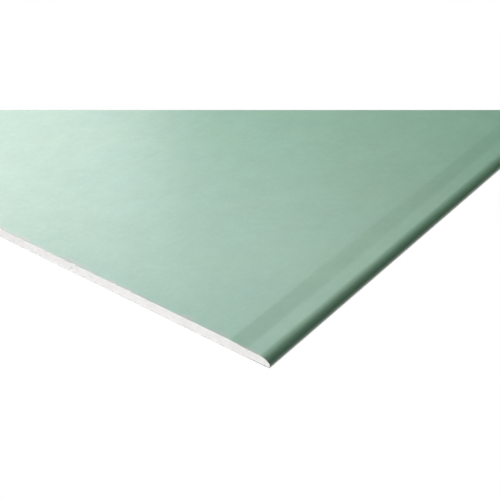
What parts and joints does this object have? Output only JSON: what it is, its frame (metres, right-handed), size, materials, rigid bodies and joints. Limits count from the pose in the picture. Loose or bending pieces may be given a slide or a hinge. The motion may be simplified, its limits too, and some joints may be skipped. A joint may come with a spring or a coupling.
{
  "type": "drywall sheet",
  "caption": "Flat rectangular gypsum board with a green paper face wrapped round tapered half-round long edges, a white core bare at square cut ends, and a paper back.",
  "frame": {"origin": "middle of the back face, on the floor that the sheet lies on", "axes": "+X across the sheet, +Y along its length, +Z out of the green face"},
  "size_m": [1.2, 2.5, 0.0125],
  "materials": {
    "gypsum_core": "matt chalky gypsum with fine air pores",
    "face_paper": "smooth pale green paper with a soft sheen",
    "back_paper": "matt grey-buff recycled paper with flecks"
  },
  "bodies": {
    "root": {"gypsum_core": "gypsum_core", "face_paper": "face_paper", "back_paper": "back_paper"}
  },
  "joints": []
}
